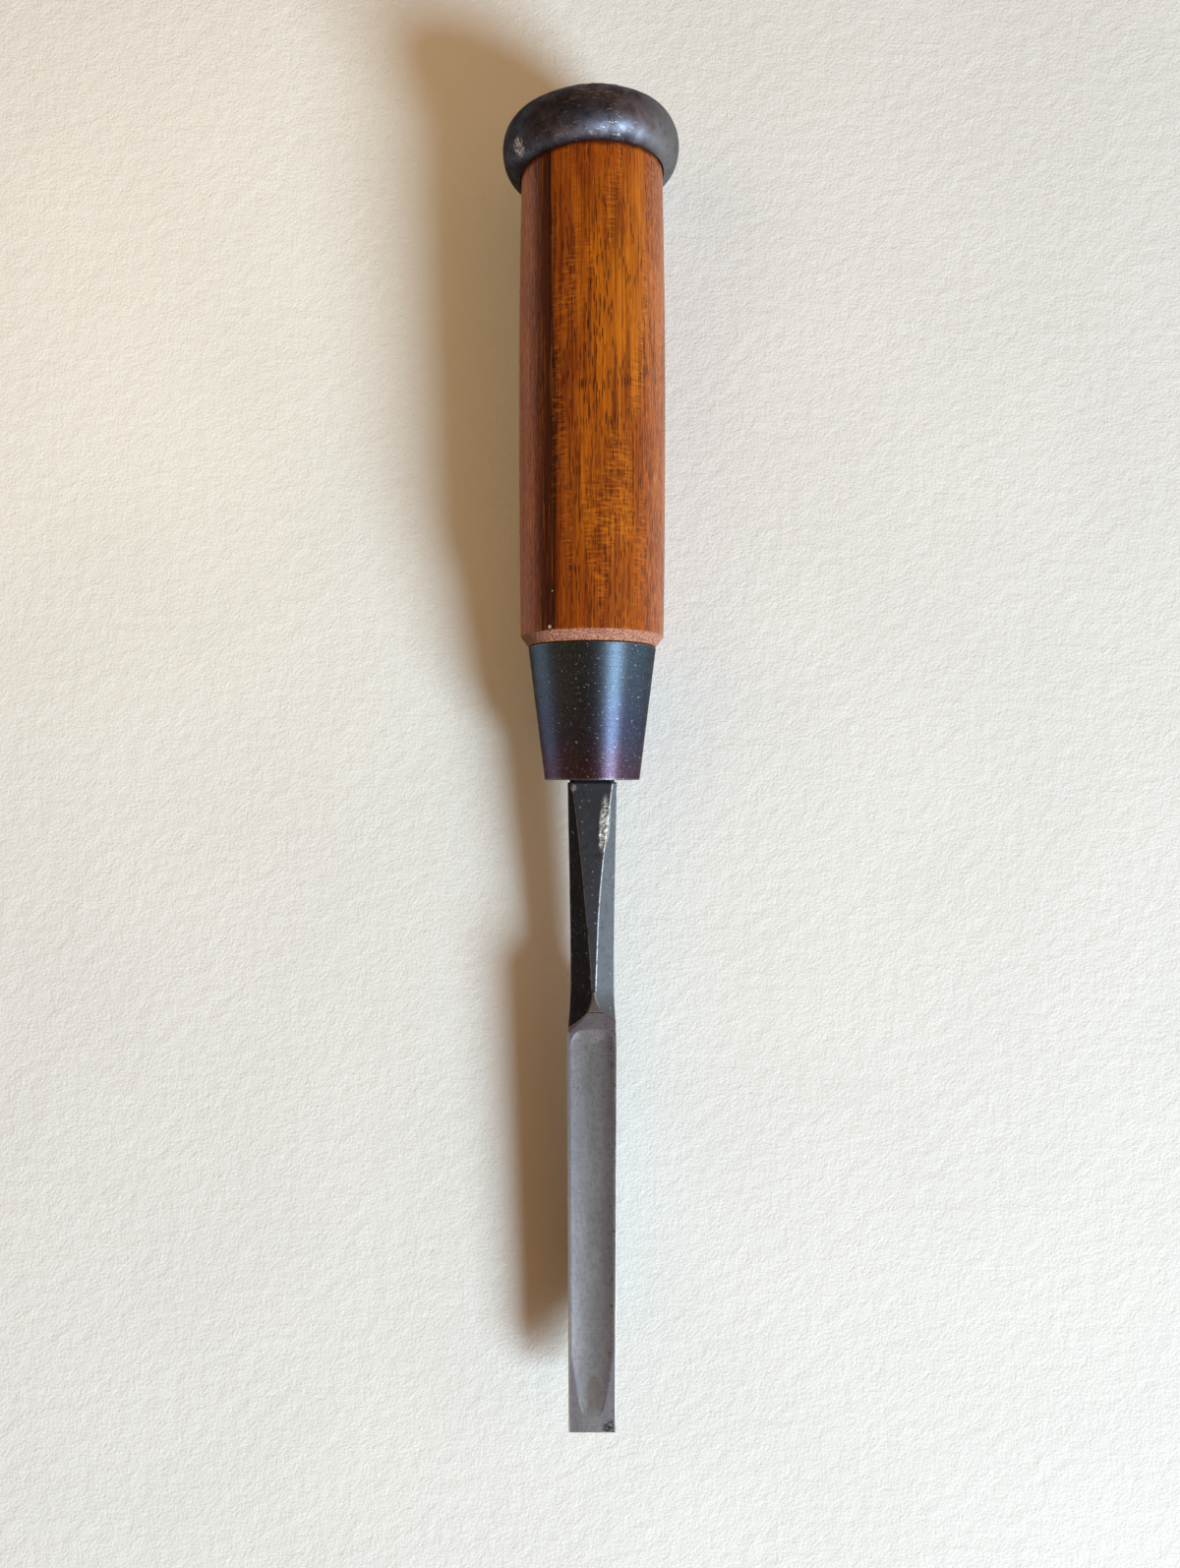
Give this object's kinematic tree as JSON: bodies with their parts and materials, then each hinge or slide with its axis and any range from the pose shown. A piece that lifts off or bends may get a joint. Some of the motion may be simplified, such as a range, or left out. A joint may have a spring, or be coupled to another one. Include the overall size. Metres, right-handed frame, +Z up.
{
  "type": "bench chisel",
  "caption": "Japanese struck bench chisel: narrow thick blade with a hollow back, black neck, blued conical ferrule, varnished hardwood handle and steel striking hoop.",
  "frame": {"origin": "bottom centre of the box around the chisel as it lies on a bench, back up, on its hoop and the heel of its bevel", "axes": "+Y towards the struck end of the handle, -Y towards the cutting edge, +X across the blade, +Z up out of the bench; the tool's own axis is pitched 2.86 degrees up towards the handle"},
  "size_m": [0.0344, 0.2544, 0.0358],
  "materials": {
    "hoop_steel": "blackened forged steel, satin",
    "handle_wood": "varnished reddish hardwood",
    "ferrule_steel": "heat-blued steel, finely brushed",
    "black_iron": "black oxide over file marks",
    "ground_steel": "ground and hollowed steel"
  },
  "bodies": {
    "root": {"hoop": "hoop_steel", "handle": "handle_wood", "ferrule": "ferrule_steel", "iron_body": "black_iron", "cutting_steel": "ground_steel"}
  },
  "joints": []
}
